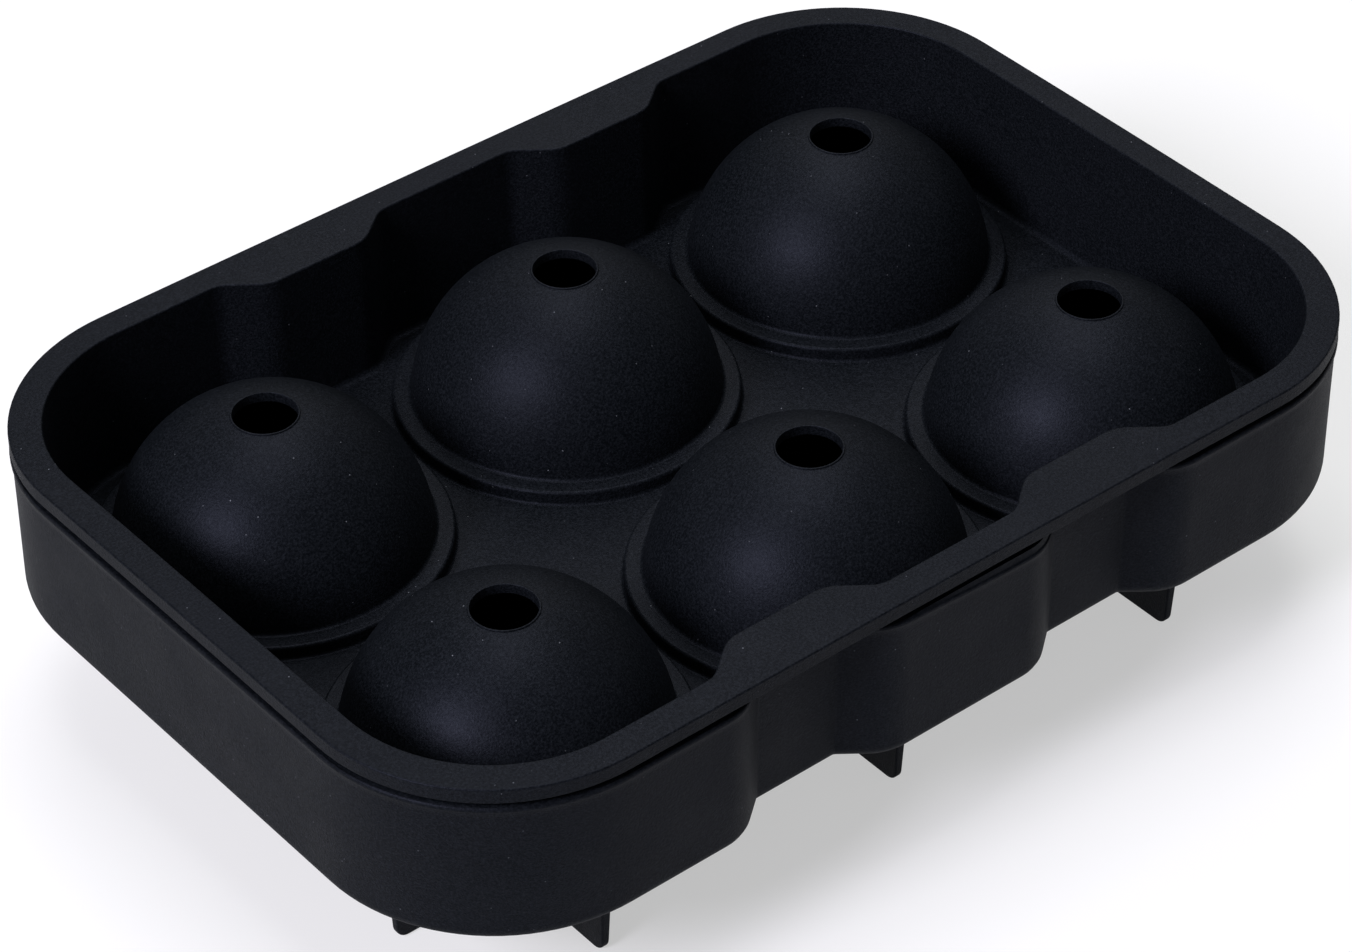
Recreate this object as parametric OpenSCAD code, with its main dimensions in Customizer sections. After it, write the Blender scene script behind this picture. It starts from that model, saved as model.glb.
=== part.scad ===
// Ice ball mould in two moulded silicone trays. The lower tray has a deep wall and hangs
// hemispherical cups from its floor, on crossed foot ribs. The lid nests inside that wall,
// caps each cup with a dome that has a fill hole, and covers the wall with a flat rim.

/* [Balls] */
// Diameter of the balls that the mould makes
ball_d = 45; // [38:1:55]
// Balls along the length
ball_cols = 3; // [2:1:4]
// Balls across the width
ball_rows = 2; // [1:1:3]
// Space between neighbouring balls along the length
ball_gap_x = 10; // [9:0.5:16]
// Space between neighbouring balls across the width
ball_gap_y = 11; // [9:0.5:16]
// Diameter of the fill hole on top of each dome
fill_d = 9.6; // [5:0.2:14]

/* [Silicone] */
// Thickness of the silicone round each ball
shell_t = 1.5; // [1:0.1:2.5]
// Thickness of the lower tray's floor
base_floor_t = 1.6; // [1.2:0.1:2.2]
// Thickness of the lid's floor
lid_floor_t = 1.8; // [1.2:0.1:2.4]
// Thickness of the lower tray's wall below its lip
base_wall_t = 1.8; // [1.4:0.1:2.2]
// Clearance between the lid and the lower tray
fit_gap = 0.3; // [0.2:0.05:0.5]

/* [Rim] */
// Width of the lid's flat rim
rim_w = 5; // [4.6:0.1:6.5]
// Height of the rim's edge
rim_t = 2.4; // [1.6:0.1:3.5]
// Open slot between the rim and the lower tray's lip
rim_slot = 1.2; // [0.6:0.1:2]
// From the last ball to the rim's edge, along the length
end_margin = 12.5; // [12.5:0.5:20]
// From the last ball to the rim's edge, across the width
side_margin = 12; // [12:0.5:20]
// Corner radius of the rim
corner_r = 29.5; // [16:0.5:30.5]

/* [Collar] */
// Height of the collar round each lower cup, above the floor
collar_h = 2.4; // [1.5:0.1:4]
// Thickness of the collar
collar_t = 2.4; // [1.6:0.1:2.8]
// Thickness of the lid over the collar
collar_cap_t = 2; // [1.2:0.1:3]
// Thickness of the lid outside the collar
collar_side_t = 1.5; // [1:0.1:1.8]

/* [Wall indents] */
// Depth of the indents between the balls on the long sides
indent_depth = 4.8; // [3.6:0.1:6]
// Width of an indent at half its depth
indent_w = 22; // [19:0.2:28]
// Slope of an indent's sides, in degrees
indent_slope = 38; // [30:1:42]
// Bend radius inside the lid where an indent begins
shoulder_in_r = 1.8; // [1:0.1:3]
// Bend radius outside the lip at the bottom of an indent
hollow_out_r = 0.5; // [0.3:0.05:1.5]

/* [Feet] */
// Height of the foot ribs under the cups
foot_h = 2; // [1:0.1:6]
// From the widest part of the cup in to the end of a foot rib
foot_inset = 3; // [3:0.1:8]
// How much further a rib's end reaches at the cup than at the bottom
foot_lean = 0.9; // [0:0.1:1.2]
// Thickness of the foot ribs
foot_t = 2; // [1.2:0.1:4]
// Radius at the lower corners of the ribs
foot_r = 1.8; // [0.5:0.1:3]

/* [Edges and draft] */
// Radius under the lower tray's wall
bottom_r = 2; // [1:0.1:2.2]
// How far the lip stands out from the rim's edge
lip_out = 0.25; // [0:0.05:0.35]
// Rounding of the lip
lip_r = 0.25; // [0.15:0.05:0.5]
// Height of the flare below the lip
flare_h = 2; // [1.5:0.1:5]
// How far the wall stands in from the rim's edge below the flare
neck_in = 0.2; // [0.2:0.05:0.6]
// How far the wall stands in from the rim's edge at its foot
foot_in = 0.1; // [0:0.05:0.3]
// How far the inside of each wall leans in from top to floor
draft = 0.35; // [0.2:0.05:0.6]
// Radius along the rim's edges
edge_r = 0.3; // [0.2:0.05:0.7]
// Fillet between each floor and its wall
floor_r = 1; // [0.6:0.1:1.4]

/* [Hidden] */
$fn = 96;

ball_r = ball_d / 2;
shell_r = ball_r + shell_t;
fill_r = fill_d / 2;
pitch_x = ball_d + ball_gap_x;
pitch_y = ball_d + ball_gap_y;
half_l = (ball_cols - 1) / 2 * pitch_x + ball_r + end_margin;
half_w = (ball_rows - 1) / 2 * pitch_y + ball_r + side_margin;

// Heights, from the surface that the ribs stand on
part_z = foot_h + shell_r;
rim_z = part_z + shell_r;
rim_under_z = rim_z - rim_t;
lip_z = rim_under_z - rim_slot;
base_floor_z = part_z - collar_h;
base_under_z = base_floor_z - base_floor_t;
lid_under_z = base_floor_z + fit_gap;
lid_floor_z = lid_under_z + lid_floor_t;
cap_z = part_z + collar_cap_t;

// Radii round each ball
collar_r = ball_r + collar_t;
recess_r = collar_r + fit_gap;
cap_r = recess_r + collar_side_t;

// Depths into the wall, counted inward from the rim's outer edge
wall_mid = rim_w / 2;
base_in_top = base_wall_t + neck_in;
base_in_low = base_in_top + draft;
lid_out_top = base_in_top + fit_gap;
lid_out_low = lid_out_top + draft;
lid_in_low = rim_w + 2 * draft;

// The floors reach this far past the ends of the walls' sections, so that they join
floor_lap = 0.5;
base_inner = base_in_low + 2 * floor_r;
lid_inner = lid_in_low + floor_r + floor_lap;

// The wall's path: each point holds its place in the middle of the wall, its outward
// direction, and the side of the tray that it is on, or 0 on the ends and corners
corner_steps = 12;
bend_steps = 5;
side_y = half_w - wall_mid;
shoulder_r = shoulder_in_r + lid_inner - wall_mid;
hollow_r = hollow_out_r + lip_out + wall_mid;

// From an indent's middle to the centre of a bend of its side
function bend_x(r, way) = indent_w / 2
    + way * ((indent_depth / 2 - r * (1 - cos(indent_slope))) / tan(indent_slope) + r * sin(indent_slope));
shoulder_x = bend_x(shoulder_r, 1);
hollow_x = bend_x(hollow_r, -1);

function shoulder(c) = [
    for (k = [0 : bend_steps])
        let (a = 90 + indent_slope * k / bend_steps)
        [c + shoulder_x + shoulder_r * cos(a), side_y - shoulder_r * (1 - sin(a)), cos(a), sin(a), 1]
];
function hollow(c) = [
    for (k = [0 : bend_steps])
        let (a = 90 + indent_slope * (1 - k / bend_steps))
        [c + hollow_x - hollow_r * cos(a), side_y - indent_depth + hollow_r * (1 - sin(a)), cos(a), sin(a), 1]
];
function flip_x(pts, c) = [for (k = [len(pts) - 1 : -1 : 0])
    let (p = pts[k]) [2 * c - p[0], p[1], -p[2], p[3], p[4]]];
function turn_half(pts) = [for (p = pts) [-p[0], -p[1], -p[2], -p[3], -p[4]]];
function indent(c) = let (one = concat(shoulder(c), hollow(c))) concat(one, flip_x(one, c));
function corner(sx, sy, from) = [
    for (k = [0 : corner_steps])
        let (a = from + 90 * k / corner_steps, r = corner_r - wall_mid)
        [sx * (half_l - corner_r) + r * cos(a), sy * (half_w - corner_r) + r * sin(a), cos(a), sin(a), 0]
];
half_path = concat(
    corner(1, 1, 0),
    [for (k = [ball_cols - 1 : -1 : 1]) each indent((k - ball_cols / 2) * pitch_x)],
    corner(-1, 1, 90));
wall_path = concat(half_path, turn_half(half_path));

// A ring of points at a depth into the wall. With bent at 0, the long sides run straight.
function place(p, depth, bent) = bent == 1 || p[4] == 0
    ? [p[0] + p[2] * (wall_mid - depth), p[1] + p[3] * (wall_mid - depth)]
    : [p[0], p[4] * (half_w - depth)];
function outline(depth, bent = 1) = [for (p = wall_path) place(p, depth, bent)];
function ring(step) = [for (p = outline(step[0], step[2])) [p[0], p[1], step[1]]];
function arc(depth, z, r, from, to, steps) = [
    for (k = [0 : steps]) let (a = from + (to - from) * k / steps) [depth - r * cos(a), z + r * sin(a), 1]
];
function straight(steps) = [for (s = steps) [s[0], s[1], 0]];

// Closed skin through rings that all have the same number of points
module skin(steps) {
    n = len(wall_path);
    m = len(steps);
    polyhedron(
        points = [for (s = steps) each ring(s)],
        faces = [for (j = [0 : m - 1], i = [0 : n - 1])
            let (next_i = (i + 1) % n, next_j = (j + 1) % m * n, a = j * n + i, c = next_j + next_i)
            each [[a, c, j * n + next_i], [a, next_j + i, c]]]);
}

// Section of the lower tray's wall: up the outside, over the lip and down the inside
flare_steps = 4;
flare = [for (k = [0 : flare_steps - 1]) let (t = k / flare_steps)
    [neck_in - (neck_in + lip_out) * t * t, lip_z - lip_r - (flare_h - lip_r) * (1 - t), 1]];
base_section = concat(
    [[base_inner, base_under_z, 1]],
    arc(foot_in + bottom_r, base_under_z + bottom_r, bottom_r, -90, 0, 4),
    flare,
    arc(lip_r - lip_out, lip_z - lip_r, lip_r, 0, 90, 2),
    arc(base_in_top - lip_r, lip_z - lip_r, lip_r, 90, 180, 1),
    arc(base_in_low + floor_r, base_floor_z + floor_r, floor_r, 0, -90, 3),
    [[base_inner, base_floor_z, 1]]);

// Section of the lid's wall and rim: up the outside, over the rim and down the inside
lid_section = concat(
    [[lid_inner, lid_under_z, 1]],
    arc(lid_out_low + floor_r, lid_under_z + floor_r, floor_r, -90, 0, 3),
    [[lid_out_top, rim_under_z - edge_r, 1], [lid_out_top - edge_r, rim_under_z, 1]],
    straight(arc(edge_r / 2, rim_under_z + edge_r / 2, edge_r / 2, -90, 0, 1)),
    straight(arc(edge_r, rim_z - edge_r, edge_r, 0, 90, 2)),
    arc(rim_w - edge_r, rim_z - edge_r, edge_r, 90, 180, 2),
    arc(lid_in_low + floor_r, lid_floor_z + floor_r, floor_r, 0, -90, 3),
    [[lid_inner, lid_floor_z, 1]]);

module tray_floor(inner, z, t) {
    translate([0, 0, z]) linear_extrude(t) polygon(outline(inner - floor_lap));
}

module each_ball() {
    for (ix = [0 : ball_cols - 1], iy = [0 : ball_rows - 1])
        translate([(ix - (ball_cols - 1) / 2) * pitch_x, (iy - (ball_rows - 1) / 2) * pitch_y, part_z])
            children();
}

// One rib of the cross that a cup stands on, drawn in the plane of the rib
module foot_rib() {
    half = shell_r - foot_inset;
    reach = half + foot_lean;
    top = part_z - sqrt(pow(shell_r - shell_t / 2, 2) - pow(reach, 2));
    toe = [for (k = [0 : 6]) let (a = 15 * k) [half - foot_r * (1 - sin(a)), foot_r * (1 - cos(a))]];
    rotate([90, 0, 0]) translate([0, 0, -foot_t / 2]) linear_extrude(foot_t) polygon(concat(
        toe, [[reach, top], [-reach, top]],
        [for (k = [6 : -1 : 0]) [-toe[k][0], toe[k][1]]]));
}

module cup_outside() {
    intersection() {
        sphere(r = shell_r);
        translate([0, 0, -shell_r]) cylinder(h = shell_r, r = 2 * shell_r);
    }
    translate([0, 0, base_under_z - part_z]) cylinder(h = part_z - base_under_z, r = collar_r);
    for (a = [0, 90]) translate([0, 0, -part_z]) rotate([0, 0, a]) foot_rib();
}

module dome_outside() {
    sphere(r = shell_r);
    translate([0, 0, -part_z]) rotate_extrude() polygon(concat(
        [[0, lid_under_z], [cap_r, lid_under_z]],
        [for (k = [0 : 3]) let (a = 30 * k)
            [cap_r - edge_r + edge_r * cos(a), cap_z - edge_r + edge_r * sin(a)]],
        [[0, cap_z]]));
}

module dome_inside() {
    sphere(r = ball_r);
    translate([0, 0, -2 * shell_r]) cylinder(h = 2 * shell_r, r = recess_r);
    cylinder(h = 2 * shell_r, r = fill_r);
}

module base_tray() color("#26282c") difference() {
    union() {
        skin(base_section);
        tray_floor(base_inner, base_under_z, base_floor_t);
        each_ball() cup_outside();
    }
    each_ball() sphere(r = ball_r);
}

module lid_tray() color("#2b2d31") difference() {
    union() {
        skin(lid_section);
        tray_floor(lid_inner, lid_under_z, lid_floor_t);
        each_ball() dome_outside();
    }
    each_ball() dome_inside();
}

base_tray();
lid_tray();
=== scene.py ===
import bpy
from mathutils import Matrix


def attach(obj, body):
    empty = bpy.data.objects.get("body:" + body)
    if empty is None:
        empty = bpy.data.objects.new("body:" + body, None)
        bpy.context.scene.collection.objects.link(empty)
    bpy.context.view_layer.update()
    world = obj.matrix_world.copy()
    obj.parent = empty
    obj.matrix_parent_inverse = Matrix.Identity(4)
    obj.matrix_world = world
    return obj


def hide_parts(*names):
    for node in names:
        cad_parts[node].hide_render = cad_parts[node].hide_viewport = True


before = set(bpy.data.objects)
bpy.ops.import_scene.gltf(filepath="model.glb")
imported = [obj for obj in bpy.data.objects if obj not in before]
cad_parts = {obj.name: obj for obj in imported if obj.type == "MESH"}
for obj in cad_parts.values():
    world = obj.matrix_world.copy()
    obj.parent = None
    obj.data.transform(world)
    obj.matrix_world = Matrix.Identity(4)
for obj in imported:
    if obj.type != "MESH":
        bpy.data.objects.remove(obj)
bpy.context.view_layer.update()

import math

import bmesh
import bpy
from mathutils import Matrix, Vector

MM = 0.001
# What lies nearer than this is one place, in millimetres on a path and in metres on a mesh
SAME = 1e-6

# Plan of the trays in millimetres, as the CAD has it
HALF_L, HALF_W = 90.0, 62.5
CORNER_R = 29.5
PITCH_X, PITCH_Y = 55.0, 56.0
BALLS = [(PITCH_X * column, PITCH_Y * row) for row in (-0.5, 0.5) for column in (-1, 0, 1)]
INDENT_DEPTH, INDENT_W, INDENT_SLOPE = 4.8, 22.0, math.radians(38)
# Bend radii where an indent begins and at its bottom, at the depth of the wall's path
SHOULDER_R, HOLLOW_R = 6.5, 3.25

# Heights above the surface that the ribs stand on
RIM_Z, RIM_UNDER_Z, LIP_Z = 50.0, 47.6, 46.4
PART_Z, CAP_Z = 26.0, 28.0
LID_FLOOR_Z, LID_UNDER_Z = 25.7, 23.9
BASE_FLOOR_Z, BASE_UNDER_Z = 23.6, 22.0

# Radii round each ball, and the fillets and edges on what is turned round it
BALL_R, SHELL_R, FILL_R = 22.5, 24.0, 4.8
COLLAR_R, RECESS_R, CAP_R = 24.9, 25.2, 26.7
CAP_FILLET, DOME_FILLET, SHELL_FILLET = 0.5, 0.6, 0.8
COLLAR_FILLET, COLLAR_EDGE, BALL_EDGE = 0.4, 0.3, 0.25
RECESS_FILLET, RECESS_EDGE = 0.2, 0.3
# The middle of the silicone between a ball and the outside of its cup
MID_SHELL_R = (SHELL_R + BALL_R) / 2
# Angles, in radians, that a ball's arcs leave free for the fillets at their ends
DOME_GAP, FLASH_GAP, BALL_GAP, SHELL_GAP = 0.05, 0.014, 0.03, 0.06

# Depths into the wall, counted inward from the rim's outer edge. The path of the wall's
# bends lies at WALL_MID
WALL_MID = 2.5
RIM_W, EDGE_R = 5.0, 0.3
LIP_OUT, NECK_IN, FOOT_IN = 0.25, 0.2, 0.1
BASE_IN_TOP, BASE_IN_LOW = 2.0, 2.35
LID_OUT_TOP, LID_OUT_LOW, LID_IN_LOW = 2.3, 2.65, 5.7
FLARE_H, LIP_R, BOTTOM_R, FLOOR_R = 2.0, 0.25, 2.0, 1.0

# Flat strips beside the fillets: from one depth to another on the rim, on the lip and on the
# floors along the wall, and from one radius to another on the floors round a ball. On top of
# the lid's floor they begin at the fillet, and only the end is given. The rest is filled in
RIM_STRIP, LIP_STRIP = (1.0, 4.0), (0.8, 1.4)
LID_FLOOR_WALL, LID_FLOOR_BALL = 6.95, 27.4
LID_UNDER_WALL, LID_UNDER_BALL = (4.4, 6.4), (26.0, 26.4)
BASE_FLOOR_WALL, BASE_FLOOR_BALL = (3.95, 4.55), (25.7, 25.9)
BASE_UNDER_WALL, BASE_UNDER_BALL = (4.55, 5.55), (25.2, 25.6)

# Foot ribs: half the length at the sole, how much further they reach at the cup, the
# thickness at the cup and at the sole, and the radii of the toes and of the long edges
RIB_HALF, RIB_LEAN = 21.0, 0.9
RIB_T, RIB_SOLE_T = 2.0, 1.3
TOE_R, RIB_EDGE = 1.8, 0.3

# How far the soft edges hang below their moulded height: the rim at its corners, and the
# lower tray's lip beside one indent of a long side, over a stretch either way
RIM_DROOP, LIP_DROOP, DROOP_H = 0.5, 1.0, 9.0
LIP_DROOP_X, LIP_DROOP_REACH = 12.0, 27.5
# Fine flash that stands round the edge of each fill hole
FLASH_H, FLASH_W, FLASH_EDGE = 0.16, 0.26, 0.1

# Steps along curves. With 92 round a ball, no seam of a cup runs into a corner of its ribs
SPIN_STEPS, DOME_STEPS, CUP_STEPS = 92, 44, 48
CORNER_STEPS, BEND_STEPS, FLARE_STEPS = 24, 7, 5
TOE_STEPS, EDGE_STEPS = 6, 3

# Sizes of the silicone's patterns, and heights of its waves and grain, in millimetres. The
# mould's blasting leaves marks of about a tenth of a millimetre, too fine to show, so
# mottling, gloss and grain are drawn coarser
PIGMENT_MM, MOTTLE_MM, DUST_MM = 26, 0.36, 2.1
RUBBED_MM, GLOSS_MM = 9, 0.4
WAVE_MM, WAVE_H = 18, 0.6
GRAIN_MM, GRAIN_H = 0.28, 0.12


def only(obj):
    """Makes obj the one selected and active object."""
    bpy.ops.object.select_all(action="DESELECT")
    obj.select_set(True)
    bpy.context.view_layer.objects.active = obj


def open_mesh(obj):
    """Opens obj in edit mode and returns its mesh with nothing selected."""
    only(obj)
    bpy.ops.object.mode_set(mode="EDIT")
    bpy.ops.mesh.select_all(action="DESELECT")
    return bmesh.from_edit_mesh(obj.data)


def close_mesh():
    """Leaves edit mode."""
    bpy.ops.object.mode_set(mode="OBJECT")


def rounded(corners, steps=5):
    """The line through corners (across, up, radius), with an arc of that radius at each."""
    line = []
    for k, (x, z, r) in enumerate(corners):
        here = Vector((x, z))
        if r == 0:
            line.append((x, z))
            continue
        back = (Vector(corners[k - 1][:2]) - here).normalized()
        ahead = (Vector(corners[k + 1][:2]) - here).normalized()
        half = back.angle(ahead) / 2
        centre = here + (back + ahead).normalized() * (r / math.sin(half))
        start = here + back * (r / math.tan(half)) - centre
        sweep = (math.pi - 2 * half) * (1 if back.cross(ahead) < 0 else -1)
        for s in range(steps + 1):
            point = centre + Matrix.Rotation(sweep * s / steps, 2) @ start
            line.append((point.x, point.y))
    return line


def sphere_arc(r, low, high, steps):
    """Points on a ball, from one angle above its middle to another, as corners of radius 0."""
    angles = [low + (high - low) * s / steps for s in range(steps + 1)]
    return [(r * math.cos(a), PART_Z + r * math.sin(a), 0) for a in angles]


# A point of the wall's path is (x, y, outward x, outward y, side), where side is 1 on the far
# long side, -1 on the near one and 0 round the ends
def arc_points(cx, cy, r, start, sweep, steps, way, side):
    """Path points along an arc. With way -1 the arc lies across its centre, as in a hollow."""
    angles = [start + sweep * s / steps for s in range(steps + 1)]
    return [
        (cx + way * r * math.cos(a), cy + way * r * math.sin(a), math.cos(a), math.sin(a), side)
        for a in angles
    ]


def bend_reach(r):
    """How far along the side, from where the indent is half as deep, a bend's centre lies."""
    slant = (INDENT_DEPTH / 2 - r * (1 - math.cos(INDENT_SLOPE))) / math.tan(INDENT_SLOPE)
    return slant + r * math.sin(INDENT_SLOPE)


def indent_points(middle):
    """The wall's way into an indent and out again, on the far side, going toward -X."""
    side_y = HALF_W - WALL_MID
    shoulder_x = middle + INDENT_W / 2 + bend_reach(SHOULDER_R)
    hollow_x = middle + INDENT_W / 2 - bend_reach(HOLLOW_R)
    top, slope = math.pi / 2, INDENT_SLOPE
    way_in = arc_points(
        shoulder_x, side_y - SHOULDER_R, SHOULDER_R, top, slope, BEND_STEPS, 1, 1
    )
    way_in += arc_points(
        hollow_x, side_y - INDENT_DEPTH + HOLLOW_R, HOLLOW_R, top + slope, -slope, BEND_STEPS, -1, 1
    )
    way_out = [(2 * middle - x, y, -nx, ny, side) for x, y, nx, ny, side in reversed(way_in)]
    return way_in + way_out


def wall_path():
    """One turn round the wall from +X, over the far side. The near half is the far one turned."""
    r = CORNER_R - WALL_MID
    cx, cy = HALF_L - CORNER_R, HALF_W - CORNER_R
    quarter = math.pi / 2
    half = arc_points(cx, cy, r, 0, quarter, CORNER_STEPS, 1, 0)
    half += indent_points(PITCH_X / 2) + indent_points(-PITCH_X / 2)
    half += arc_points(-cx, cy, r, quarter, quarter, CORNER_STEPS, 1, 0)
    return half + [(-x, -y, -nx, -ny, -side) for x, y, nx, ny, side in half]


def filled_in(path, longest=3.5):
    """The same path with more points along its straight stretches."""
    out = []
    for k, here in enumerate(path):
        ahead = path[(k + 1) % len(path)]
        gap = math.dist(here[:2], ahead[:2])
        if gap < SAME:
            continue
        parts = math.ceil(gap / longest)
        for s in range(parts):
            t = s / parts
            mixed = [a + (b - a) * t for a, b in zip(here[:4], ahead[:4])]
            out.append((*mixed, here[4] or ahead[4]))
    return out


PATH = filled_in(wall_path())


def droop(x, y, z):
    """How far the edge of a thin soft wall hangs down at this place. The rim hangs at its
    corners, and both walls hang with the lower tray's lip."""
    if z > LIP_Z:
        share = (x / HALF_L * y / HALF_W) ** 2
        return RIM_DROOP * share * min(1, (z - RIM_Z + DROOP_H) / (DROOP_H - RIM_Z + RIM_UNDER_Z))
    along = x if y < 0 else -x
    share = max(0, 1 - ((along - LIP_DROOP_X) / LIP_DROOP_REACH) ** 2) ** 2 * (abs(y) > HALF_W / 2)
    return LIP_DROOP * share * max(0, (z - LIP_Z + DROOP_H) / DROOP_H)


def ring(depth, z, bent=True):
    """The wall's path at a depth in from the rim's edge. Not bent, the long sides run straight."""
    out = []
    for x, y, nx, ny, side in PATH:
        if bent or side == 0:
            x, y = x + nx * (WALL_MID - depth), y + ny * (WALL_MID - depth)
        else:
            y = side * (HALF_W - depth)
        out.append(Vector((x, y, z - droop(x, y, z))) * MM)
    return out


def wall_skin(name, rings):
    """Draws the first ring and extrudes it through the others."""
    bpy.ops.object.select_all(action="DESELECT")
    bpy.ops.mesh.primitive_circle_add(vertices=len(PATH), radius=HALF_W * MM, fill_type="NOTHING")
    obj = bpy.context.object
    obj.name = obj.data.name = name
    mesh = open_mesh(obj)
    along = mesh.verts.layers.int.new("along")
    for k, vert in enumerate(mesh.verts):
        vert[along] = k
    bpy.ops.mesh.select_all(action="SELECT")
    for k, places in enumerate(rings):
        if k:
            bpy.ops.mesh.extrude_edges_move()
        mesh = bmesh.from_edit_mesh(obj.data)
        along = mesh.verts.layers.int["along"]
        for vert in mesh.verts:
            if vert.select:
                vert.co = places[vert[along]]
        bmesh.update_edit_mesh(obj.data)
    mesh.verts.layers.int.remove(along)
    bmesh.update_edit_mesh(obj.data)
    close_mesh()
    return obj


def turned(name, profile):
    """Spins an open line of (radius, height) points round the ball's upright axis."""
    bpy.ops.object.select_all(action="DESELECT")
    bpy.ops.mesh.primitive_circle_add(vertices=len(profile), radius=BALL_R * MM, fill_type="NOTHING")
    obj = bpy.context.object
    obj.name = obj.data.name = name
    mesh = open_mesh(obj)
    mesh.verts.ensure_lookup_table()
    for vert, (r, z) in zip(mesh.verts, profile):
        vert.co = Vector((r, 0, z)) * MM
    closing = [e for e in mesh.edges if {v.index for v in e.verts} == {0, len(profile) - 1}]
    closing[0].select_set(True)
    bmesh.update_edit_mesh(obj.data)
    bpy.ops.mesh.delete(type="EDGE")
    bpy.ops.mesh.select_all(action="SELECT")
    bpy.ops.mesh.spin(steps=SPIN_STEPS, angle=2 * math.pi, center=(0, 0, 0), axis=(0, 0, 1))
    bpy.ops.mesh.select_all(action="SELECT")
    bpy.ops.mesh.remove_doubles(threshold=SAME)
    close_mesh()
    return obj


def at_each_ball(obj):
    """Copies obj to every ball's place and returns all the pieces. The last one is obj itself."""
    pieces = []
    for k, (x, y) in enumerate(BALLS):
        only(obj)
        if k < len(BALLS) - 1:
            bpy.ops.object.duplicate(linked=False)
        piece = bpy.context.object
        bpy.ops.transform.translate(value=(x * MM, y * MM, 0))
        bpy.ops.object.transform_apply(location=True, rotation=True, scale=True)
        pieces.append(piece)
    return pieces


def join(obj, others):
    """Makes the other objects part of obj."""
    only(obj)
    for other in others:
        other.select_set(True)
    bpy.ops.object.join()


def fill_floor(obj, z):
    """Fills the level between the open edges at height z."""
    mesh = open_mesh(obj)
    for edge in mesh.edges:
        if edge.is_boundary and all(abs(v.co.z - z * MM) < SAME for v in edge.verts):
            edge.select_set(True)
    bmesh.update_edit_mesh(obj.data)
    bpy.ops.mesh.fill(use_beauty=True)
    close_mesh()


def finish_mould(obj):
    """Joins what meets and turns the faces outward."""
    open_mesh(obj)
    bpy.ops.mesh.select_all(action="SELECT")
    bpy.ops.mesh.remove_doubles(threshold=SAME)
    bpy.ops.mesh.normals_make_consistent(inside=False)
    close_mesh()


def smooth(obj):
    """Shades curves smooth and keeps the large flat faces flat up to their fillets."""
    only(obj)
    bpy.ops.object.shade_smooth_by_angle(angle=math.radians(40))
    weighted = obj.modifiers.new("flat faces", "WEIGHTED_NORMAL")
    weighted.keep_sharp = True
    bpy.ops.object.modifier_apply(modifier=weighted.name)


def section(corners):
    """Rings for a wall from the (depth, height, radius) corners of its section. The rim's
    outer edge runs straight over the indents."""
    slot_z, outer = (LIP_Z + RIM_UNDER_Z) / 2, RIM_W / 4
    return [ring(depth, z, bent=z < slot_z or depth > outer) for depth, z in rounded(corners)]


def make_lid():
    """The upper tray: a straight rim, a bent wall nested in the lower tray's, and six domes."""
    under, floor = LID_UNDER_Z, LID_FLOOR_Z
    wall = wall_skin("lid_moulded", section([
        (LID_UNDER_WALL[1], under, 0), (LID_UNDER_WALL[0], under, 0),
        (LID_OUT_LOW, under, FLOOR_R), (LID_OUT_TOP, LIP_Z, 0), (LID_OUT_TOP, RIM_UNDER_Z, EDGE_R),
        (0, RIM_UNDER_Z, EDGE_R / 2), (0, RIM_Z, EDGE_R),
        (RIM_STRIP[0], RIM_Z, 0), (RIM_STRIP[1], RIM_Z, 0), (RIM_W, RIM_Z, EDGE_R),
        (LID_IN_LOW, floor, FLOOR_R), (LID_FLOOR_WALL, floor, 0),
    ]))
    foot_angle = math.asin((CAP_Z - PART_Z) / SHELL_R)
    fill_angle = math.acos(FILL_R / SHELL_R)
    mouth_angle = math.acos(FILL_R / BALL_R)
    outside = [
        (LID_FLOOR_BALL, floor, 0), (CAP_R, floor, CAP_FILLET), (CAP_R, CAP_Z, CAP_FILLET),
        (SHELL_R * math.cos(foot_angle), CAP_Z, DOME_FILLET),
    ]
    outside += sphere_arc(SHELL_R, foot_angle + DOME_GAP, fill_angle - FLASH_GAP, DOME_STEPS)
    flash_top = PART_Z + SHELL_R * math.sin(fill_angle) + FLASH_H
    hole = [
        (FILL_R + FLASH_W, flash_top, FLASH_EDGE), (FILL_R, flash_top, FLASH_EDGE),
        (FILL_R, PART_Z + BALL_R * math.sin(mouth_angle), BALL_EDGE),
    ]
    inside = sphere_arc(BALL_R, mouth_angle - BALL_GAP, 0, DOME_STEPS)
    recess = [
        (RECESS_R, PART_Z, RECESS_FILLET), (RECESS_R, under, RECESS_EDGE),
        (LID_UNDER_BALL[0], under, 0), (LID_UNDER_BALL[1], under, 0),
    ]
    dome = turned("dome", rounded(outside + hole + inside + recess))
    join(wall, at_each_ball(dome))
    fill_floor(wall, LID_FLOOR_Z)
    fill_floor(wall, LID_UNDER_Z)
    finish_mould(wall)
    smooth(wall)
    return wall


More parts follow.
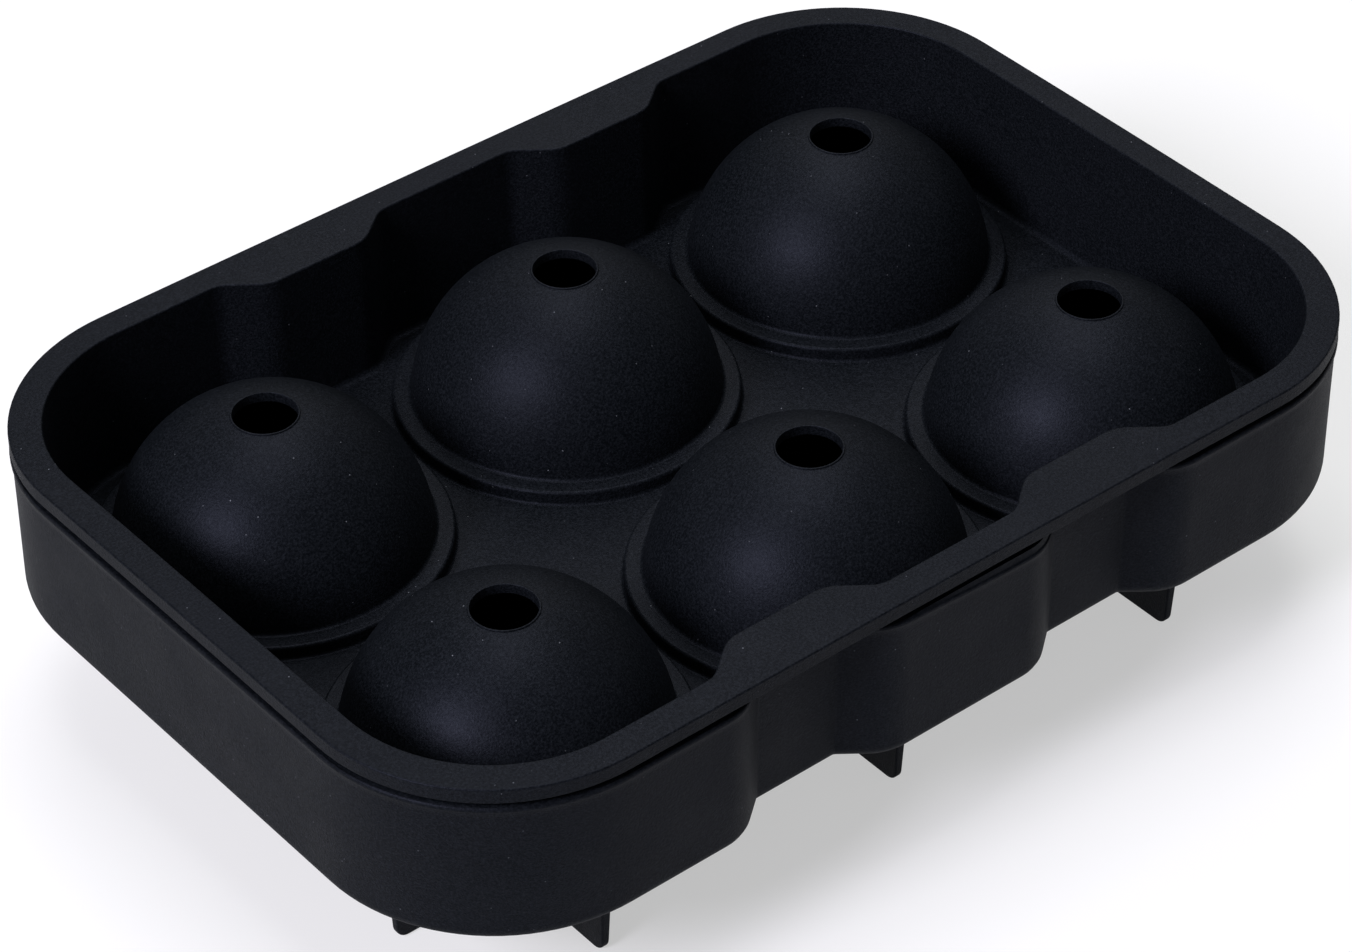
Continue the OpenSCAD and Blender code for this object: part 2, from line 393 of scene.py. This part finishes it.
def make_rib():
    """A foot rib across a cup's underside, thinner toward its sole, with rounded toes."""
    top = (PART_Z - math.sqrt(MID_SHELL_R ** 2 - (RIB_HALF + RIB_LEAN) ** 2)) * MM
    bpy.ops.mesh.primitive_cube_add(size=1, location=(0, 0, top / 2),
                                    scale=(2 * RIB_HALF * MM, RIB_T * MM, top))
    rib = bpy.context.object
    rib.name = rib.data.name = "rib"
    bpy.ops.object.transform_apply(location=True, rotation=True, scale=True)
    mesh = open_mesh(rib)
    for vert in mesh.verts:
        if vert.co.z > top / 2:
            vert.co.x *= (RIB_HALF + RIB_LEAN) / RIB_HALF
        else:
            vert.co.y *= RIB_SOLE_T / RIB_T
    for edge in mesh.edges:
        at_sole = all(v.co.z < SAME for v in edge.verts)
        if at_sole and abs(edge.verts[0].co.x - edge.verts[1].co.x) < SAME:
            edge.select_set(True)
    bmesh.update_edit_mesh(rib.data)
    bpy.ops.mesh.bevel(offset=TOE_R * MM, segments=TOE_STEPS, affect="EDGES")
    mesh = bmesh.from_edit_mesh(rib.data)
    bpy.ops.mesh.select_all(action="DESELECT")
    for edge in mesh.edges:
        flanks = [abs(face.normal.y) > 0.9 for face in edge.link_faces]
        if sum(flanks) == 1 and min(v.co.z for v in edge.verts) < top - 10 * SAME:
            edge.select_set(True)
    bmesh.update_edit_mesh(rib.data)
    bpy.ops.mesh.bevel(offset=RIB_EDGE * MM, segments=EDGE_STEPS, affect="EDGES")
    close_mesh()
    return rib


def combine(obj, other, how):
    """Applies a Boolean with another closed object and removes that object."""
    only(obj)
    cut = obj.modifiers.new("combine", "BOOLEAN")
    cut.operation, cut.solver, cut.object = how, "EXACT", other
    bpy.ops.object.modifier_apply(modifier=cut.name)
    bpy.data.objects.remove(other)


def make_cross():
    """Two ribs crossed at right angles, hollowed to end inside the cup's wall."""
    rib, cross_rib = make_rib(), make_rib()
    only(cross_rib)
    bpy.ops.transform.rotate(value=math.pi / 2, orient_axis="Z", center_override=(0, 0, 0))
    bpy.ops.object.transform_apply(location=True, rotation=True, scale=True)
    combine(rib, cross_rib, "UNION")
    bpy.ops.mesh.primitive_uv_sphere_add(segments=48, ring_count=32, location=(0, 0, PART_Z * MM),
                                         radius=MID_SHELL_R * MM)
    combine(rib, bpy.context.object, "DIFFERENCE")
    return rib


def make_base():
    """The lower tray: a flared lip on a bent wall, six cups with collars, and crossed ribs."""
    under, floor = BASE_UNDER_Z, BASE_FLOOR_Z
    flare = []
    for k in range(FLARE_STEPS):
        t = k / FLARE_STEPS
        flare.append((NECK_IN - (NECK_IN + LIP_OUT) * t * t,
                      LIP_Z - LIP_R - (FLARE_H - LIP_R) * (1 - t), 0))
    wall = wall_skin("base_moulded", section([
        (BASE_UNDER_WALL[1], under, 0), (BASE_UNDER_WALL[0], under, 0),
        (FOOT_IN, under, BOTTOM_R), (NECK_IN, LIP_Z - DROOP_H, 0),
        *flare,
        (-LIP_OUT, LIP_Z, 2 * LIP_R), (LIP_STRIP[0], LIP_Z, 0), (LIP_STRIP[1], LIP_Z, 0),
        (BASE_IN_TOP, LIP_Z, LIP_R), (BASE_IN_LOW, floor, FLOOR_R),
        (BASE_FLOOR_WALL[0], floor, 0), (BASE_FLOOR_WALL[1], floor, 0),
    ]))
    lowest = -math.pi / 2
    inside = [
        (BASE_FLOOR_BALL[1], floor, 0), (BASE_FLOOR_BALL[0], floor, 0),
        (COLLAR_R, floor, COLLAR_FILLET), (COLLAR_R, PART_Z, COLLAR_EDGE),
        (BALL_R, PART_Z, BALL_EDGE),
    ]
    inside += sphere_arc(BALL_R, -BALL_GAP, lowest, CUP_STEPS)
    inside[-1] = (0, inside[-1][1], 0)
    cup = turned("cup", rounded(inside))
    under_angle = math.asin((under - PART_Z) / SHELL_R)
    outside = [
        (BASE_UNDER_BALL[1], under, 0), (BASE_UNDER_BALL[0], under, 0),
        (SHELL_R * math.cos(under_angle), under, SHELL_FILLET),
    ]
    outside += sphere_arc(SHELL_R, under_angle - SHELL_GAP, lowest, DOME_STEPS)
    outside[-1] = (0, outside[-1][1], 0)
    shell = turned("shell", rounded(outside))
    join(wall, at_each_ball(cup) + at_each_ball(shell))
    fill_floor(wall, BASE_FLOOR_Z)
    fill_floor(wall, BASE_UNDER_Z)
    finish_mould(wall)
    ribs = at_each_ball(make_cross())
    join(ribs[0], ribs[1:])
    combine(wall, ribs[0], "UNION")
    smooth(wall)
    return wall


def linear(colour):
    """A written colour such as #808080 as the shader's linear values."""
    parts = [int(colour[k:k + 2], 16) / 255 for k in (1, 3, 5)]
    return (*[p / 12.92 if p <= 0.04045 else ((p + 0.055) / 1.055) ** 2.4 for p in parts], 1)


def add(tree, kind, values=None, links=None, **settings):
    """Adds a node with its settings, its plain input values and its links."""
    made = tree.nodes.new(kind)
    for name, value in settings.items():
        setattr(made, name, value)
    for socket, value in (values or {}).items():
        made.inputs[socket].default_value = value
    for socket, output in (links or {}).items():
        tree.links.new(output, made.inputs[socket])
    return made


def per_mm(size):
    """The texture scale at which one cell of a pattern is this many millimetres."""
    return 1 / (size * MM)


def silicone(name, shift):
    """Black platinum-cured silicone from a blasted mould: dark, satin and a little dusty. The
    patterns are moved by shift millimetres, so that two trays don't show the same ones."""
    made = bpy.data.materials.new(name)
    made.use_nodes = True
    tree = made.node_tree
    tree.nodes.clear()
    coords = add(tree, "ShaderNodeTexCoord")
    place = add(tree, "ShaderNodeVectorMath", {1: (shift * MM, 0, 0)},
                {0: coords.outputs["Object"]}).outputs[0]

    # Clouds of noise, each with its size, detail and roughness
    noise = {}
    for pattern, size, detail, rough in (
        ("pigment", PIGMENT_MM, 3, 0.5),
        ("mottling", MOTTLE_MM, 4, 0.7),
        ("rubbing", RUBBED_MM, 3, 0.5),
        ("fine gloss", GLOSS_MM, 2, 0.5),
        ("waves", WAVE_MM, 2, 0.5),
        ("grain", GRAIN_MM, 3, 0.6),
    ):
        cloud = add(tree, "ShaderNodeTexNoise",
                    {"Scale": per_mm(size), "Detail": detail, "Roughness": rough},
                    {"Vector": place})
        noise[pattern] = cloud.outputs["Fac"]

    # Dust that silicone draws to itself: pale specks a fifth of a millimetre wide, far apart
    cells = add(tree, "ShaderNodeTexVoronoi", {"Scale": per_mm(DUST_MM), "Randomness": 1.0},
                {"Vector": place}, voronoi_dimensions="3D", feature="F1")
    chance = add(tree, "ShaderNodeSeparateColor", links={0: cells.outputs["Color"]})
    # How far a face looks up: 1 on the flats, 0 on a plumb wall
    upward = add(tree, "ShaderNodeSeparateXYZ", links={0: coords.outputs["Normal"]}).outputs[2]

    # What each pattern comes to, from its lowest and highest values to those that are wanted
    amount = {}
    for use, source, low, high, to_low, to_high in (
        # Pigment that isn't stirred in perfectly, as slow drifts of the dark tone
        ("drift", noise["pigment"], 0.3, 0.7, 0, 1),
        # Mottling of the skin, finer than a millimetre
        ("mottle", noise["mottling"], 0.42, 0.74, 0, 0.85),
        # The core of each dust cell, and how bright the speck there is
        ("speck", cells.outputs["Distance"], 0.025, 0.06, 1, 0),
        ("brightness", chance.outputs[0], 0.3, 1.0, 0, 0.6),
        # Gloss: satin crowns and flats, and duller steep sides, where the mould was blasted
        # coarser so that it lets go; shinier and duller patches where the skin was handled
        ("blast", upward, 0.1, 0.6, 0.60, 0.46),
        ("patches", noise["rubbing"], 0.3, 0.7, -0.03, 0.03),
        ("fine", noise["fine gloss"], 0.25, 0.75, -0.04, 0.04),
        # The grain stands higher on steep sides
        ("grain height", upward, 0.05, 0.25, 1.0, 0.45),
    ):
        mapped = add(tree, "ShaderNodeMapRange",
                     {"From Min": low, "From Max": high, "To Min": to_low, "To Max": to_high},
                     {"Value": source})
        amount[use] = mapped.outputs[0]

    pigment = add(tree, "ShaderNodeMix", {6: linear("#040608"), 7: linear("#080a0d")},
                  {0: amount["drift"]}, data_type="RGBA").outputs[2]
    mottled = add(tree, "ShaderNodeMix", {7: linear("#1e2126")},
                  {0: amount["mottle"], 6: pigment}, data_type="RGBA").outputs[2]
    dust = add(tree, "ShaderNodeMath", links={0: amount["speck"], 1: amount["brightness"]},
               operation="MULTIPLY").outputs[0]
    colour = add(tree, "ShaderNodeMix", {7: linear("#8d9199")}, {0: dust, 6: mottled},
                 data_type="RGBA").outputs[2]
    gloss = add(tree, "ShaderNodeMath", links={0: amount["patches"], 1: amount["fine"]},
                operation="ADD").outputs[0]
    gloss = add(tree, "ShaderNodeMath", links={0: amount["blast"], 1: gloss},
                operation="ADD").outputs[0]

    # Relief: slow waves of a soft wall, then the grain of the blasted mould
    waves = add(tree, "ShaderNodeBump", {"Strength": 0.28, "Distance": WAVE_H * MM},
                {"Height": noise["waves"]}).outputs[0]
    grain = add(tree, "ShaderNodeBump", {"Distance": GRAIN_H * MM},
                {"Strength": amount["grain height"], "Height": noise["grain"],
                 "Normal": waves}).outputs[0]

    # Silicone's IOR, with the weaker and slightly blue reflection of the photographed skin
    skin = add(tree, "ShaderNodeBsdfPrincipled",
               {"IOR": 1.41, "Specular IOR Level": 0.127, "Specular Tint": linear("#d8e0ff")},
               {"Base Color": colour, "Roughness": gloss, "Normal": grain})
    add(tree, "ShaderNodeOutputMaterial", links={"Surface": skin.outputs[0]})
    return made


def seen_directly(tree):
    """1 for what the camera, a reflection or glass sees, 0 for light on its way to a surface."""
    path = add(tree, "ShaderNodeLightPath")
    some = add(tree, "ShaderNodeMath", operation="MAXIMUM", links={
        0: path.outputs["Is Camera Ray"], 1: path.outputs["Is Glossy Ray"]})
    return add(tree, "ShaderNodeMath", operation="MAXIMUM", links={
        0: some.outputs[0], 1: path.outputs["Is Transmission Ray"]}).outputs[0]


def make_world():
    """A plain, dim studio room, which fills in the shade a little."""
    world = bpy.data.worlds.new("studio room")
    world.use_nodes = True
    tree = world.node_tree
    tree.nodes.clear()
    sky = add(tree, "ShaderNodeBackground", {"Color": linear("#f6f8ff"), "Strength": 0.18})
    add(tree, "ShaderNodeOutputWorld", links={"Surface": sky.outputs[0]})
    bpy.context.scene.world = world


def make_floor(size=8, lift=0.5):
    """A pale paper sweep that keeps the object's shadow. It is lifted to white where it is seen
    or reflected, and throws none of that on the trays."""
    bpy.ops.mesh.primitive_plane_add(size=size, location=(0, 0, 0))
    floor = bpy.context.object
    floor.name = "floor"
    paper = bpy.data.materials.new("white paper sweep")
    paper.use_nodes = True
    tree = paper.node_tree
    tree.nodes.clear()
    dull = add(tree, "ShaderNodeBsdfDiffuse", {"Color": linear("#b4b4b4")})
    lifted = add(tree, "ShaderNodeMath", {1: lift}, {0: seen_directly(tree)}, operation="MULTIPLY")
    glow = add(tree, "ShaderNodeEmission", {"Color": linear("#ffffff")},
               {"Strength": lifted.outputs[0]})
    both = add(tree, "ShaderNodeAddShader", links={0: dull.outputs[0], 1: glow.outputs[0]})
    add(tree, "ShaderNodeOutputMaterial", links={"Surface": both.outputs[0]})
    floor.data.materials.append(paper)


def soft_lamp(name, place, size, power, colour):
    """A round soft lamp, aimed at the middle of the trays."""
    aim = Vector((0, 0, 0.03))
    lamp = bpy.data.lights.new(name, "AREA")
    lamp.shape, lamp.size, lamp.energy, lamp.color = "DISK", size, power, linear(colour)[:3]
    obj = bpy.data.objects.new(name, lamp)
    bpy.context.scene.collection.objects.link(obj)
    obj.location = place
    obj.rotation_euler = (aim - Vector(place)).to_track_quat("-Z", "Y").to_euler()


def make_camera():
    """The photograph's view: a long lens from the near left, looking down on the trays."""
    azimuth, elevation, roll = (math.radians(a) for a in (-39.44, 38.69, -0.243))
    target, distance = Vector((-0.019109, -0.021332, 0.05)), 0.634175
    away = Vector((math.cos(elevation) * math.sin(azimuth),
                   -math.cos(elevation) * math.cos(azimuth), math.sin(elevation)))
    right = Vector((math.cos(azimuth), math.sin(azimuth), 0))
    up = away.cross(right)
    turned_right = right * math.cos(roll) + up * math.sin(roll)
    turned_up = up * math.cos(roll) - right * math.sin(roll)
    lens = bpy.data.cameras.new("camera")
    lens.lens, lens.sensor_width, lens.sensor_fit = 119.713, 36, "HORIZONTAL"
    obj = bpy.data.objects.new("camera", lens)
    bpy.context.scene.collection.objects.link(obj)
    view_axes = Matrix((turned_right, turned_up, away)).transposed().to_4x4()
    obj.matrix_world = Matrix.Translation(target + away * distance) @ view_axes
    bpy.context.scene.camera = obj


lid = make_lid()
base = make_base()
for piece, body, node, slot, shift in (
    (lid, "lid", "lid_tray", "lid_silicone", 0),
    (base, "base", "base_tray", "base_silicone", 400),
):
    piece.data.materials.clear()
    piece.data.materials.append(silicone(slot, shift))
    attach(piece, body)
    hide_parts(node)

make_world()
make_floor()
soft_lamp("window on the left", (-1.88, -0.20, 1.44), size=0.85, power=56.0, colour="#f6f2ff")
soft_lamp("softbox overhead", (0.15, 0.25, 1.90), size=1.20, power=17.0, colour="#ffffff")
soft_lamp("soft lamp behind", (0.50, 0.60, 0.86), size=0.80, power=2.3, colour="#ffffff")
make_camera()

bpy.context.scene.view_settings.view_transform = "Standard"
